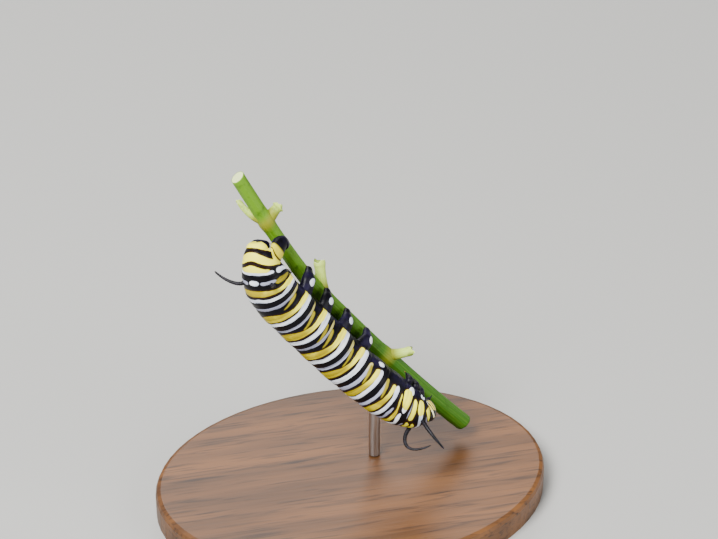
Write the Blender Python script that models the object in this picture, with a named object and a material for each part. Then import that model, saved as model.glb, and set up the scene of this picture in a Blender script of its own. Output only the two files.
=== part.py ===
"""Monarch larva clinging head-down to a cut milkweed stem, as a life-size display model on a plain stand.

The animal and its stem are worked out in millimetres in a frame of their own: x runs along the stem
towards the head, y to the animal's left, z from the stem to its back. place() turns that frame into
the world, in metres, +Z up, with the origin at the middle of the stand's underside.
"""

import math

import bmesh
import bpy
import numpy as np

MM = 0.001
GAP = 0.3  # between two solids that meet

# How the stem stands in the world.
SLOPE = math.radians(53.2)  # of the stem, down towards the head
ROLL = math.radians(52.1)  # of the animal round its stem, from hanging below it towards the front
STEM_AT = np.array([0.0, 3.5, 31.8])  # the middle of the stem, above the base

# The animal: name and length of each body segment, and the body's radius at its front edge.
SEGMENTS = (
    ("thorax_1", 0.9, 2.05),
    ("thorax_2", 2.5, 2.7),
    ("thorax_3", 2.35, 3.35),
    ("abdomen_1", 3.9, 3.58),
    ("abdomen_2", 4.15, 3.7),
    ("abdomen_3", 4.7, 3.74),
    ("abdomen_4", 5.0, 3.76),
    ("abdomen_5", 4.85, 3.78),
    ("abdomen_6", 4.8, 3.76),
    ("abdomen_7", 3.75, 3.7),
    ("abdomen_8", 2.4, 3.42),
    ("abdomen_9_10", 3.0, 2.85),
)
TAIL_RADIUS = 1.75  # where the last segment ends
THORAX_AT = 0.75  # where the first segment starts, as t is counted along the body
BODY_HEIGHT = 5.9  # body axis above the stem's axis
EDGES = THORAX_AT + np.concatenate([[0.0], np.cumsum([length for _, length, _ in SEGMENTS])])
RADII = np.array([radius for _, _, radius in SEGMENTS] + [TAIL_RADIUS])
FIRST_PROLEG, LAST_PROLEG = 5, 8  # indices of abdomen_3 and abdomen_6
TAIL = len(SEGMENTS) - 1

SIDES = 28  # round a segment
SEGMENT_RINGS = 6
BULGE = 0.13  # a segment's middle over its creases

STEM_RADIUS = 1.37  # under the body; past the tail it is thinner
STEM_TOP_RADIUS = 1.1
STEM_REACH = 31.0  # each way from its middle
STEM_SAG = 1.6  # how far its ends lie behind its middle
STEM_BEND_AT, STEM_BEND = -10.2, 0.124  # under the tail it bends away from the animal, to its left

# The stand.
BASE_SIZE = (62.0, 44.0, 4.5)
BASE_EDGE = 0.8
ROD_RADIUS = 0.9
CRADLE_AT = 7.5  # along the stem
CRADLE_LENGTH = 4.2
CRADLE_WALL = 0.6

SKIN_BLACK = (0.012, 0.010, 0.020)
SKIN_YELLOW = (0.62, 0.45, 0.05)
STEM_GREEN = (0.16, 0.30, 0.03)
WOOD = (0.42, 0.24, 0.11)
STEEL = (0.55, 0.56, 0.58)


# The frame of the animal in the world

AHEAD = np.array([math.cos(SLOPE), 0.0, -math.sin(SLOPE)])
BELOW = np.array([-math.sin(SLOPE), 0.0, -math.cos(SLOPE)])
BACK = math.cos(ROLL) * BELOW + math.sin(ROLL) * np.array([0.0, -1.0, 0.0])
LEFT = np.cross(BACK, AHEAD)


def place(points):
    """Points of the animal's frame, in millimetres, as world points in metres."""
    points = np.asarray(points, float)
    return MM * (points @ np.array([AHEAD, LEFT, BACK]) + STEM_AT)


# The body's axis and skin

def smoothstep(value):
    value = np.clip(value, 0.0, 1.0)
    return value * value * (3.0 - 2.0 * value)


def front_turn(t):
    """1 in the front of the body, 0 from its middle to the tail."""
    return 1.0 - smoothstep((t - 13.6) / 7.0)


def neck(t):
    """Nearly 1 in the head, falling away through the thorax."""
    return np.exp(-(((t + 2.5) / 6.3) ** 2))


def pitch(t):
    """How far the body's axis rises towards the head, in radians, at t mm along the body."""
    tail_curl = 82.0 * (np.maximum(t - 26.4, 0.0) / 23.5) ** 3
    return np.radians(3.2 * front_turn(t) - 37.0 * neck(t) + tail_curl)


def yaw(t):
    """The front of the body turns to its left, most in the thorax, and the tail end to its right."""
    return np.radians(11.4 * front_turn(t) + 30.0 * neck(t) - 18.0 * smoothstep((t - 31.0) / 8.0))


def lean(t):
    """How far the top of each ring leans back towards the tail; the thorax leans the other way."""
    return np.radians(8.0 * smoothstep((t - 6.5) / 7.0) - 22.0 * neck(t))


def heading(t):
    level = np.cos(pitch(t))
    return np.stack([level * np.cos(yaw(t)), level * np.sin(yaw(t)), np.sin(pitch(t))], -1)


AXIS_T = np.linspace(-3.0, EDGES[-1] + 1.0, 1200)
AXIS_STEPS = heading(AXIS_T)
AXIS = -np.concatenate([np.zeros((1, 3)), np.cumsum(
    (AXIS_STEPS[1:] + AXIS_STEPS[:-1]) / 2 * np.diff(AXIS_T)[:, None], axis=0)])
MIDDLE_T = EDGES[6]  # over the stem's middle


def axis_point(t):
    """The body's axis is its heading summed up along t."""
    raw = np.stack([np.interp(t, AXIS_T, AXIS[:, k]) for k in range(3)], -1)
    middle = np.array([np.interp(MIDDLE_T, AXIS_T, AXIS[:, k]) for k in range(3)])
    return raw - middle + np.array([0.0, 0.0, BODY_HEIGHT])


def ring_axes(t):
    """The body's left at t, and the way its rings stand."""
    ahead = heading(t)
    left = np.stack([-np.sin(yaw(t)), np.cos(yaw(t)), np.zeros_like(t)], -1)
    up = np.cross(ahead, left)
    return left, up * np.cos(lean(t))[..., None] - ahead * np.sin(lean(t))[..., None]


def radius(t):
    """The body's radius: a smooth line through the radii at the segments' edges."""
    slopes = np.gradient(RADII, EDGES)
    k = np.clip(np.searchsorted(EDGES, t) - 1, 0, len(EDGES) - 2)
    span = EDGES[k + 1] - EDGES[k]
    u = (t - EDGES[k]) / span
    return ((1 + 2 * u) * (1 - u) ** 2 * RADII[k] + u * (1 - u) ** 2 * span * slopes[k]
            + u * u * (3 - 2 * u) * RADII[k + 1] - u * u * (1 - u) * span * slopes[k + 1])


def skin(t, angle, lift=0.0):
    """The skin's point at t and at an angle from the back towards the left side.

    A ring is a circle, flatter under the belly. Each segment swells a little between its creases.
    """
    t, angle = np.broadcast_arrays(np.asarray(t, float), np.asarray(angle, float))
    k = np.clip(np.searchsorted(EDGES, t) - 1, 0, TAIL)
    along = np.clip((t - EDGES[k]) / (EDGES[k + 1] - EDGES[k]), 0.0, 1.0)
    swell = BULGE * (np.sqrt(np.sin(math.pi * along)) - 0.5)
    belly = np.clip(-np.cos(angle), 0.0, 1.0)
    tail_flat = 0.14 * smoothstep((t - EDGES[TAIL - 1]) / 2.0)
    size = radius(t) * (1.0 - (0.03 + tail_flat) * belly ** 2) + swell + lift
    left, up = ring_axes(t)
    return (axis_point(t) + left * (size * np.sin(angle))[..., None] + up * (size * np.cos(angle))[..., None])


def stem_point(x):
    """The stem's middle line: a shallow bow with a soft bend under the tail."""
    x = np.asarray(x, float)
    past = STEM_BEND_AT - x
    aside = STEM_BEND * (np.sqrt(past * past + 9.0) + past) / 2
    return np.stack([x, 0.62 * aside, -STEM_SAG * (x / STEM_REACH) ** 2 - 0.79 * aside], -1)


def stem_radius(x):
    return STEM_TOP_RADIUS + (STEM_RADIUS - STEM_TOP_RADIUS) * smoothstep((np.asarray(x, float) + 22.0) / 24.0)


# Making objects

def material(name, colour, roughness, metallic=0.0):
    made = bpy.data.materials.new(name)
    made.use_nodes = True
    shader = made.node_tree.nodes["Principled BSDF"]
    shader.inputs["Base Color"].default_value = (*colour, 1.0)
    shader.inputs["Roughness"].default_value = roughness
    shader.inputs["Metallic"].default_value = metallic
    return made


def add(name, mesh, finish):
    mesh.materials.append(finish)
    mesh.shade_smooth()
    mesh.set_sharp_from_angle(angle=math.radians(40))
    made = bpy.data.objects.new(name, mesh)
    parts.objects.link(made)
    return made


def finished(name, shape, finish):
    """The shape as an object, its faces turned outwards."""
    bmesh.ops.recalc_face_normals(shape, faces=shape.faces)
    if shape.calc_volume(signed=True) < 0:
        bmesh.ops.reverse_faces(shape, faces=shape.faces)
    mesh = bpy.data.meshes.new(name)
    shape.to_mesh(mesh)
    shape.free()
    return add(name, mesh, finish)


def loft(name, rings, finish):
    """A closed body through rings of like count, given in the animal's frame, with a flat face at each end."""
    rings = place(rings)
    sides = rings.shape[1]
    shape = bmesh.new()
    points = [[shape.verts.new(point) for point in ring] for ring in rings]
    for lower, upper in zip(points, points[1:]):
        for i in range(sides):
            j = (i + 1) % sides
            shape.faces.new((lower[i], lower[j], upper[j], upper[i]))
    shape.faces.new(points[0][::-1])
    shape.faces.new(points[-1])
    return finished(name, shape, finish)


def tube(name, route, radii, finish, resolution=2):
    """A round piece along a route: a curve with a bevel and closed ends."""
    curve = bpy.data.curves.new(name, "CURVE")
    curve.dimensions = "3D"
    curve.bevel_depth = MM
    curve.bevel_resolution = resolution
    curve.use_fill_caps = True
    spline = curve.splines.new("POLY")
    spline.points.add(len(route) - 1)
    for point, where, size in zip(spline.points, place(route), radii):
        point.co = (*where, 1.0)
        point.radius = size
    curve.materials.append(finish)
    made = bpy.data.objects.new(name, curve)
    parts.objects.link(made)
    return made


def bend(start, first, second, end, count):
    """Points on the cubic curve from start to end that first and second pull on."""
    u = np.linspace(0.0, 1.0, count)[:, None]
    return ((1 - u) ** 3 * start + 3 * u * (1 - u) ** 2 * first + 3 * u * u * (1 - u) * second + u ** 3 * end)


def limb(name, t, angle, root, stations, finish, sides=12):
    """A leg: its root ring lies on the skin and its other rings stand round the given stations.

    root is half the root's length along the body and half its width round it. A station is a
    point, half a length along the body and half a width across it.
    """
    turn = np.linspace(0.0, 2.0 * math.pi, sides, endpoint=False)
    around = root[1] / float(radius(np.array(t)))
    sense = 1.0 if angle > 0 else -1.0
    rings = [skin(t - root[0] * np.cos(turn), angle - sense * around * np.sin(turn), GAP)]
    before = rings[0].mean(axis=0)
    for centre, half_length, half_width in stations:
        centre = np.asarray(centre, float)
        course = centre - before
        across = np.cross(course, [1.0, 0.0, 0.0])
        across /= np.linalg.norm(across)
        if across[1] * sense < 0:
            across = -across
        along = np.cross(across, course)
        along *= np.sign(along[0]) / np.linalg.norm(along)
        rings.append(centre + along * half_length * np.cos(turn)[:, None]
                     + across * half_width * np.sin(turn)[:, None])
        before = centre
    return loft(name, np.array(rings), finish)


# The model

for old in list(bpy.data.objects):
    bpy.data.objects.remove(old, do_unlink=True)
parts = bpy.data.collections.new("monarch larva on a stem")
bpy.context.scene.collection.children.link(parts)

banded_skin = material("banded larval skin", SKIN_YELLOW, 0.45)
dark_skin = material("dark larval skin", SKIN_BLACK, 0.4)
head_shell = material("glossy head capsule", SKIN_BLACK, 0.25)
green_stem = material("green plant stem", STEM_GREEN, 0.5)
wood = material("oiled wood", WOOD, 0.5)
steel = material("brushed steel", STEEL, 0.3, 1.0)


def body_segments():
    """Each segment is a loft through rings of the skin, half a gap short of its neighbours."""
    angles = np.linspace(0.0, 2.0 * math.pi, SIDES, endpoint=False)
    for k, (name, _, _) in enumerate(SEGMENTS):
        front = EDGES[k] + GAP / 2
        rear = EDGES[k + 1] - GAP / 2
        spread = 0.5 - 0.5 * np.cos(np.linspace(0.0, math.pi, SEGMENT_RINGS))
        stations = front + (rear - front) * spread
        rings = [skin(station, angles) for station in stations]
        if k == TAIL:
            centre = rings[-1].mean(axis=0)
            behind = -heading(np.array(rear))
            edge = rings[-1] - centre
            rings += [centre + share * edge + far * behind for share, far in ((0.88, 0.4), (0.55, 0.7))]
        loft(name, np.array(rings), banded_skin)


# Head: the capsule's centre, half sizes and the way the face looks.
HEAD_CENTRE = axis_point(EDGES[0]) + 0.6 * heading(EDGES[0]) + np.array([0.0, 0.0, 0.3])
HEAD_HALF = (1.3, 1.75, 1.85)  # ahead, sideways, from chin to crown
FACE = np.array([0.58, 0.5, -0.64])


def head():
    """The head capsule: two domed lobes with a groove between them, a face that runs down to the jaws.

    It is cut off flat, along the ring of the first thorax segment that it meets.
    """
    face = FACE / np.linalg.norm(FACE)
    left = np.cross([0.0, 0.0, 1.0], face)
    left /= np.linalg.norm(left)
    crown = np.cross(face, left)
    shape = bmesh.new()
    bmesh.ops.create_uvsphere(shape, u_segments=24, v_segments=16, radius=1.0)
    points = np.array([vert.co for vert in shape.verts])
    ahead, side, high = points.T
    groove = np.exp(-((side / 0.13) ** 2)) * np.clip(0.35 + high, 0.0, 1.0)
    jaw = np.exp(-(((high + 0.72) / 0.28) ** 2)) * np.exp(-((side / 0.42) ** 2)) * np.clip(ahead, 0.0, 1.0)
    cheek = 1.0 - 0.16 * smoothstep((-high - 0.1) / 0.9)
    size = 1.0 - 0.07 * groove + 0.16 * jaw
    local = np.stack([ahead, side * cheek, high], -1) * HEAD_HALF * size[:, None]
    moved = HEAD_CENTRE + local @ np.array([face, left, crown])
    cut = axis_point(EDGES[0] + GAP / 2)
    outward = np.cross(*ring_axes(EDGES[0]))
    short = np.clip(GAP - (moved - cut) @ outward, 0.0, None)
    for vert, point in zip(shape.verts, place(moved + short[:, None] * outward)):
        vert.co = point
    finished("head", shape, head_shell)


# Feelers: fleshy filaments on the second thorax segment and the eighth abdomen segment.
FRONT_FEELER_RADIUS = 0.33
REAR_FEELER_T, REAR_FEELER_ANGLE, REAR_FEELER_RADIUS = EDGES[10] + 0.75, math.radians(45), 0.3
FEELER_TIP = 0.14


def feeler(name, t, angle, bends, thickness, count):
    """It leaves the skin square and runs through the bends, each counted from its root."""
    root = skin(t, angle, GAP)
    route = bend(root, *[root + np.array(step) for step in bends], count)
    taper = thickness + (FEELER_TIP - thickness) * np.linspace(0.0, 1.0, count) ** 2
    tube(name, route, taper, dark_skin)


def feelers():
    """The front pair point ahead, the right one bent over; the rear pair are short and point back."""
    feeler("front_tentacle_left", 2.1, math.radians(28),
           ((0.3, 1.3, 1.5), (1.8, 2.3, 2.5), (3.6, 2.5, 2.8)), FRONT_FEELER_RADIUS, 14)
    feeler("front_tentacle_right", 2.7, math.radians(-35),
           ((0.3, -1.3, 1.5), (2.1, -1.2, 3.9), (2.9, 2.9, 1.4)), FRONT_FEELER_RADIUS, 14)
    feeler("rear_tentacle_left", REAR_FEELER_T, REAR_FEELER_ANGLE,
           ((-0.4, 0.8, 0.6), (-1.0, 1.7, 1.2), (-1.6, 2.5, 1.4)), REAR_FEELER_RADIUS, 9)
    feeler("rear_tentacle_right", REAR_FEELER_T, -REAR_FEELER_ANGLE,
           ((-0.6, -0.9, 0.5), (-2.0, -2.2, 0.2), (-3.2, -3.0, -0.4)), REAR_FEELER_RADIUS, 9)


# Legs grip the stem: the true legs of the thorax, the prolegs of the abdomen and the last pair.
LEG_ROOT = (0.5, 0.55)
LEG_ANGLE = math.radians(140)
LEG_LENGTH = 2.3
# How far down the leg each joint lies, how far it bows ahead, and its half width.
LEG_JOINTS = ((0.3, 0.1, 0.52), (0.6, 0.2, 0.42), (0.85, 0.1, 0.3), (1.0, -0.1, 0.12))
# The point of the stem that a leg reaches for: how far ahead of its root, and which way off the stem's axis.
LEG_HOLD = {"left": (0.3, 0.97, 0.26), "right": (0.6, 0.55, 0.8)}
PROLEG_ANGLE = math.radians(140)
PROLEG_ALONG = 0.47  # of its segment
PROLEG_ROOT = (1.25, 0.95)
PROLEG_LEAN = (0.4, -0.1, -0.35, -0.6)  # how far each foot stands ahead of its root
ANAL_FOOT_X = -18.7
ANAL_ANGLE, ANAL_ROOT = math.radians(120), (1.2, 1.25)


def true_legs():
    """A leg tapers in joints to a claw, and reaches for its own side of the stem."""
    for k in range(3):
        t = EDGES[k] + 0.5 * SEGMENTS[k][1]
        for side, sense in (("left", 1.0), ("right", -1.0)):
            angle = sense * LEG_ANGLE
            root = skin(t, angle, GAP)
            ahead, aside, high = LEG_HOLD[side]
            hold = stem_point(root[0] + ahead) + np.array([0.0, aside, high]) * (STEM_RADIUS + GAP + 0.2)
            way = hold - root
            reach = min(LEG_LENGTH, float(np.linalg.norm(way)))
            way = way / np.linalg.norm(way)
            stations = [(root + way * reach * part + np.array([bow, 0.0, 0.0]), half, half)
                        for part, bow, half in LEG_JOINTS]
            limb("leg_%d_%s" % (k + 1, side), t, angle, LEG_ROOT, stations, dark_skin, 10)


def prolegs():
    """A fleshy cone from the flank of the belly to a broad foot that clasps the stem."""
    for k in range(FIRST_PROLEG, LAST_PROLEG + 1):
        t = EDGES[k] + PROLEG_ALONG * SEGMENTS[k][1]
        x = float(skin(t, PROLEG_ANGLE)[0]) + PROLEG_LEAN[k - FIRST_PROLEG]
        _, aside, stem = stem_point(x)
        for side, sense in (("left", 1.0), ("right", -1.0)):
            stations = (((x - 0.1, aside + 2.75 * sense, stem + 2.1), 1.15, 0.84),
                        ((x - 0.15, aside + 2.55 * sense, stem + 1.4), 0.95, 0.66),
                        ((x - 0.2, aside + 2.35 * sense, stem + 0.85), 0.8, 0.53),
                        ((x - 0.25, aside + 2.2 * sense, stem + 0.4), 0.66, 0.42),
                        ((x - 0.25, aside + 2.1 * sense, stem + 0.1), 0.42, 0.28))
            limb("proleg_%d_%s" % (k - 2, side), t, sense * PROLEG_ANGLE, PROLEG_ROOT, stations, dark_skin, 14)


def anal_prolegs():
    """The last pair reach forwards from the tail to clasp the stem."""
    t = EDGES[TAIL] + 1.25
    x = ANAL_FOOT_X
    _, aside, stem = stem_point(x)
    for side, sense in (("left", 1.0), ("right", -1.0)):
        stations = (((x - 1.35, aside + 2.3 * sense, stem + 2.15), 1.25, 1.0),
                    ((x - 0.7, aside + 2.3 * sense, stem + 1.5), 1.12, 0.85),
                    ((x - 0.15, aside + 2.05 * sense, stem + 0.95), 0.85, 0.55),
                    ((x + 0.1, aside + 1.75 * sense, stem + 0.55), 0.5, 0.3))
        limb("anal_proleg_" + side, t, sense * ANAL_ANGLE, ANAL_ROOT, stations, dark_skin, 14)


# Perch: a cut length of stem with the stubs of four leaf stalks.
STALKS = (
    # Where its line leaves the stem's, the way it points, its length from there and its radii.
    (-6.2, (-0.72, 0.18, -0.67), 5.4, 0.85, 0.82),
    (10.0, (0.48, 0.76, -0.44), 4.4, 0.75, 0.72),
    (-22.4, (-0.07, 0.58, -0.81), 3.1, 0.65, 0.58),
    (-22.9, (-0.81, -0.56, -0.19), 4.7, 0.6, 0.34),
)


def perch():
    """The stem is a little bowed, and cut square at both ends."""
    x = np.linspace(-STEM_REACH, STEM_REACH, 19)
    tube("perch_stem", stem_point(x), stem_radius(x), green_stem, 4)
    for number, (x, way, length, wide, narrow) in enumerate(STALKS, 1):
        stub("perch_stalk_%d" % number, x, way, length, wide, narrow)


def stub(name, x, way, length, wide, narrow, sides=14):
    """A cut stalk: its root ring follows the round of the stem, a gap clear of it."""
    way = np.array(way) / np.linalg.norm(way)
    across = np.cross(way, [1.0, 0.0, 0.0])
    across /= np.linalg.norm(across)
    over = np.cross(way, across)
    turn = np.linspace(0.0, 2.0 * math.pi, sides, endpoint=False)[:, None]
    ring = across * np.cos(turn) + over * np.sin(turn)
    # Each line along the stalk leaves the stem's cylinder where its distance from the middle is this.
    clear = float(stem_radius(x)) + GAP
    square = way[1:] @ way[1:]
    beside = wide * ring[:, 1:] @ way[1:]
    short = wide ** 2 * (ring[:, 1:] ** 2).sum(axis=1) - clear ** 2
    out = (np.sqrt(beside ** 2 - square * short) - beside) / square
    rings = [wide * ring + way * out[:, None]]
    first = float(out.max()) + 0.2
    for part in (0.0, 0.5, 1.0):
        rings.append((wide + (narrow - wide) * part) * ring + way * (first + (length - first) * part))
    loft(name, stem_point(x) + np.array(rings), green_stem)


def stand_base():
    """An oval wooden base with its upper edge eased."""
    shape = bmesh.new()
    bmesh.ops.create_cone(shape, cap_ends=True, segments=64, radius1=0.5, radius2=0.5, depth=1.0)
    bmesh.ops.scale(shape, vec=[side * MM for side in BASE_SIZE], verts=shape.verts)
    bmesh.ops.translate(shape, vec=(0.0, 0.0, BASE_SIZE[2] / 2 * MM), verts=shape.verts)
    rim = [edge for edge in shape.edges if all(vert.co.z > BASE_SIZE[2] / 2 * MM for vert in edge.verts)]
    bmesh.ops.bevel(shape, geom=rim, offset=BASE_EDGE * MM, segments=2, profile=0.5, affect="EDGES")
    finished("stand_base", shape, wood)


def stand_rod():
    """A steel rod from the base to a cradle that holds the stem from below and behind."""
    middle = stem_point(CRADLE_AT)
    inner = STEM_RADIUS + GAP
    outer = inner + CRADLE_WALL
    # Angles in the animal's frame, from its back towards its left: world-down is to the right here.
    facing = math.atan2(-LEFT[2], -BACK[2])
    arc = facing + np.radians(np.linspace(-85.0, 30.0, 24))
    edge = np.concatenate([np.stack([0 * arc, np.sin(arc), np.cos(arc)], -1) * inner,
                           np.stack([0 * arc, np.sin(arc), np.cos(arc)], -1)[::-1] * outer])
    half = np.array([CRADLE_LENGTH / 2, 0.0, 0.0])
    cradle = loft("stand_rod", np.array([middle - half + edge, middle + half + edge]), steel)

    top = place(middle) / MM
    floor = BASE_SIZE[2] + GAP
    shape = bmesh.new()
    bmesh.ops.create_cone(shape, cap_ends=True, segments=48, radius1=ROD_RADIUS, radius2=ROD_RADIUS, depth=1.0)
    below = (inner + CRADLE_WALL / 2) / math.cos(SLOPE)
    for vert in shape.verts:
        slant = -vert.co.x * math.tan(SLOPE)
        high = top[2] - below + slant if vert.co.z > 0 else floor
        vert.co = MM * np.array([top[0] + vert.co.x, top[1] + vert.co.y, high])
    rod = finished("rod", shape, steel)
    union = cradle.modifiers.new("rod", "BOOLEAN")
    union.operation = "UNION"
    union.object = rod
    bpy.context.view_layer.update()
    joined = bpy.data.meshes.new_from_object(cradle.evaluated_get(bpy.context.evaluated_depsgraph_get()))
    cradle.modifiers.clear()
    cradle.data = joined
    bpy.data.objects.remove(rod, do_unlink=True)


body_segments()
head()
feelers()
true_legs()
prolegs()
anal_prolegs()
perch()
stand_base()
stand_rod()
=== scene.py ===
import math

import bpy
import numpy as np
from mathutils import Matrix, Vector


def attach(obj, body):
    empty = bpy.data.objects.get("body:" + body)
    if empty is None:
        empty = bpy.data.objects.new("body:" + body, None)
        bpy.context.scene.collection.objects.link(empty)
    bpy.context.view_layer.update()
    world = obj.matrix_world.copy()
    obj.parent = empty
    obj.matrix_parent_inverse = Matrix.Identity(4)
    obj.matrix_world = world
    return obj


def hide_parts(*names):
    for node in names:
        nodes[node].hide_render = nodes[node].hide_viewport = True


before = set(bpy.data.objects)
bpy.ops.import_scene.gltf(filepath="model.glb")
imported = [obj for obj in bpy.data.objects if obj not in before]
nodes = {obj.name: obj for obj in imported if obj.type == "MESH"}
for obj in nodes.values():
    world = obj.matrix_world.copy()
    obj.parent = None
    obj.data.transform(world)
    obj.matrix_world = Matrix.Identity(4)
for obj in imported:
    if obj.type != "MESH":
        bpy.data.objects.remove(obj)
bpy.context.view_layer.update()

# The larva's body: one soft skin from the collar behind the head to the plate over the tail, in black, white,
# yellow and cream cross bands. It is worked out along the body's curved axis, as the solids are, with
# the creases between its segments, their fine ring folds, and the prolegs drawn out of it.

# The animal's frame: down the slanting stem, to the animal's left, and from the stem to its back.
MM = 0.001
SLOPE, ROLL = math.radians(53.2), math.radians(52.1)
STEM_AT = np.array([0.0, 3.5, 31.8])
AHEAD = np.array([math.cos(SLOPE), 0.0, -math.sin(SLOPE)])
BACK = (math.cos(ROLL) * np.array([-math.sin(SLOPE), 0.0, -math.cos(SLOPE)])
        + math.sin(ROLL) * np.array([0.0, -1.0, 0.0]))
LEFT = np.cross(BACK, AHEAD)
# Where the first segment starts along the axis, in millimetres, then the lengths of three thorax segments,
# abdomen segments 1 to 8, and 9 with 10, the ring folds on each, and the radius at each edge between them.
THORAX_AT = 0.75
LENGTHS = np.array([0.9, 2.5, 2.35, 3.9, 4.15, 4.7, 5.0, 4.85, 4.8, 3.75, 2.4, 3.0])
FOLDS = np.array([1, 3, 3, 4, 5, 5, 5, 5, 5, 4, 3, 2])
RADII = np.array([2.05, 2.7, 3.35, 3.58, 3.7, 3.74, 3.76, 3.78, 3.76, 3.7, 3.42, 2.85, 1.75])
EDGES = THORAX_AT + np.concatenate([[0.0], np.cumsum(LENGTHS)])
FRONT, REAR = EDGES[0], EDGES[-1]
BODY_HEIGHT, MIDDLE = 5.9, EDGES[6]
# The depths of a crease, a ring fold and the fold along each flank, the flank fold's place and half width,
# and how much of its radius the belly loses, all along and at the tail.
CREASE, RING_FOLD, FLANK_FOLD = 0.17, 0.06, 0.2
FLANK_AT, FLANK_WIDE = math.radians(113), math.radians(10)
BELLY_FLAT, TAIL_FLAT = 0.03, 0.14
# How far the axis bends off the stem's line, in degrees up and to the left, and how far the rings lean.
FRONT_BEND, NECK_BEND, TAIL_BEND = (3.2, 11.4), (-37.0, 30.0), (82.0, -18.0)
BODY_LEAN, NECK_LEAN = 8.0, 22.0


def place(points):
    """Points given in millimetres along the stem, to its left and up from it, in the world in metres."""
    return MM * (np.asarray(points, float) @ np.array([AHEAD, LEFT, BACK]) + STEM_AT)


def smoothstep(value):
    """3v squared less 2v cubed, between 0 and 1."""
    value = np.clip(value, 0.0, 1.0)
    return value * value * (3.0 - 2.0 * value)


def front_share(t):
    """1 in the front half of the body, 0 in the rear half."""
    return 1.0 - smoothstep((t - 13.6) / 7.0)


def neck_share(t):
    """A bell curve that is 1 at the neck's middle."""
    return np.exp(-(((t + 2.5) / 6.3) ** 2))


def heading(t):
    """The unit vector along the body: it dips and turns left in the neck, and dips again at the tail."""
    rise = np.radians(FRONT_BEND[0] * front_share(t) + NECK_BEND[0] * neck_share(t)
                      + TAIL_BEND[0] * (np.maximum(t - 26.4, 0.0) / 23.5) ** 3)
    turn = np.radians(FRONT_BEND[1] * front_share(t) + NECK_BEND[1] * neck_share(t)
                      + TAIL_BEND[1] * smoothstep((t - 31.0) / 8.0))
    return np.stack([np.cos(rise) * np.cos(turn), np.cos(rise) * np.sin(turn), np.sin(rise)], -1)


axis_t = np.linspace(-3.0, REAR + 1.0, 1200)
axis_way = heading(axis_t)
axis_sum = -np.concatenate([np.zeros((1, 3)), np.cumsum(
    (axis_way[1:] + axis_way[:-1]) / 2 * np.diff(axis_t)[:, None], axis=0)])


def axis_point(t):
    """The heading summed up along t, moved so that the middle stands BODY_HEIGHT above the stem's axis."""
    raw = np.stack([np.interp(t, axis_t, axis_sum[:, k]) for k in range(3)], -1)
    middle = np.array([np.interp(MIDDLE, axis_t, axis_sum[:, k]) for k in range(3)])
    return raw - middle + np.array([0.0, 0.0, BODY_HEIGHT])


def radius(t):
    """A smooth cubic line through the radii at the segments' edges."""
    slopes = np.gradient(RADII, EDGES)
    k = np.clip(np.searchsorted(EDGES, t) - 1, 0, len(LENGTHS) - 1)
    span = LENGTHS[k]
    u = (t - EDGES[k]) / span
    return ((1 + 2 * u) * (1 - u) ** 2 * RADII[k] + u * (1 - u) ** 2 * span * slopes[k]
            + u * u * (3 - 2 * u) * RADII[k + 1] - u * u * (1 - u) * span * slopes[k + 1])


def skin(t, angle, lift=0.0, scale=1.0):
    """A ring round the axis at t: a circle a little flatter below, pinched at each crease and ring fold.

    The angle is from the back's middle line to the left. lift is added to the ring's size in millimetres.
    """
    t, angle = np.broadcast_arrays(np.asarray(t, float), np.asarray(angle, float))
    k = np.clip(np.searchsorted(EDGES, t) - 1, 0, len(LENGTHS) - 1)
    along = np.clip((t - EDGES[k]) / LENGTHS[k], 0.0, 1.0)
    ripple = np.abs(np.sin(math.pi * FOLDS[k] * along)) ** 0.7 - 0.7
    side = np.exp(-(((np.abs(angle) - FLANK_AT) / FLANK_WIDE) ** 2))
    swell = (CREASE * (np.sqrt(np.sin(math.pi * along)) - 0.5) + RING_FOLD * ripple
             + FLANK_FOLD * side * np.sin(math.pi * along) ** 0.5)
    belly = np.clip(-np.cos(angle), 0.0, 1.0)
    flat = BELLY_FLAT + TAIL_FLAT * smoothstep((t - EDGES[11]) / 2.0)
    size = scale * (radius(np.clip(t, FRONT, REAR)) * (1.0 - flat * belly ** 2) + swell) + lift
    ahead = heading(t)
    turn = np.arctan2(ahead[..., 1], ahead[..., 0])
    left = np.stack([-np.sin(turn), np.cos(turn), np.zeros_like(turn)], -1)
    lean = np.radians(BODY_LEAN * smoothstep((t - 6.5) / 7.0) - NECK_LEAN * neck_share(t))[..., None]
    up = np.cross(ahead, left) * np.cos(lean) - ahead * np.sin(lean)
    return axis_point(t) + left * (size * np.sin(angle))[..., None] + up * (size * np.cos(angle))[..., None]


STEM_RADIUS, STEM_TOP_RADIUS, STEM_REACH, STEM_SAG = 1.37, 1.1, 31.0, 1.6
BEND_AT, BEND_SLOPE = -10.2, 0.124


def stem_radius(x):
    """The stem's radius, which falls off towards its top end."""
    thickening = smoothstep((np.asarray(x, float) + 22.0) / 24.0)
    return STEM_TOP_RADIUS + (STEM_RADIUS - STEM_TOP_RADIUS) * thickening


def stem_point(x):
    """The stem's middle line: a shallow bow with a soft bend under the tail."""
    x = np.asarray(x, float)
    past = BEND_AT - x
    aside = BEND_SLOPE * (np.sqrt(past * past + 9.0) + past) / 2
    return np.stack([x, 0.62 * aside, -STEM_SAG * (x / STEM_REACH) ** 2 - 0.79 * aside], -1)


def through(knots, stations, at):
    """A smooth (Catmull-Rom) line through stations, whose places along it are knots, read at each value."""
    k = np.clip(np.searchsorted(knots, at) - 1, 0, len(knots) - 2)
    rows = np.arange(len(at))
    before, here, there, after = (
        stations[np.clip(k + step, 0, len(knots) - 1), rows] for step in (-1, 0, 1, 2))
    u = ((at - knots[k]) / (knots[k + 1] - knots[k]))[:, None]
    return 0.5 * (2 * here + (there - before) * u + (2 * before - 5 * here + 4 * there - after) * u ** 2
                  + (3 * here - before - 3 * there + after) * u ** 3)


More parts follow.
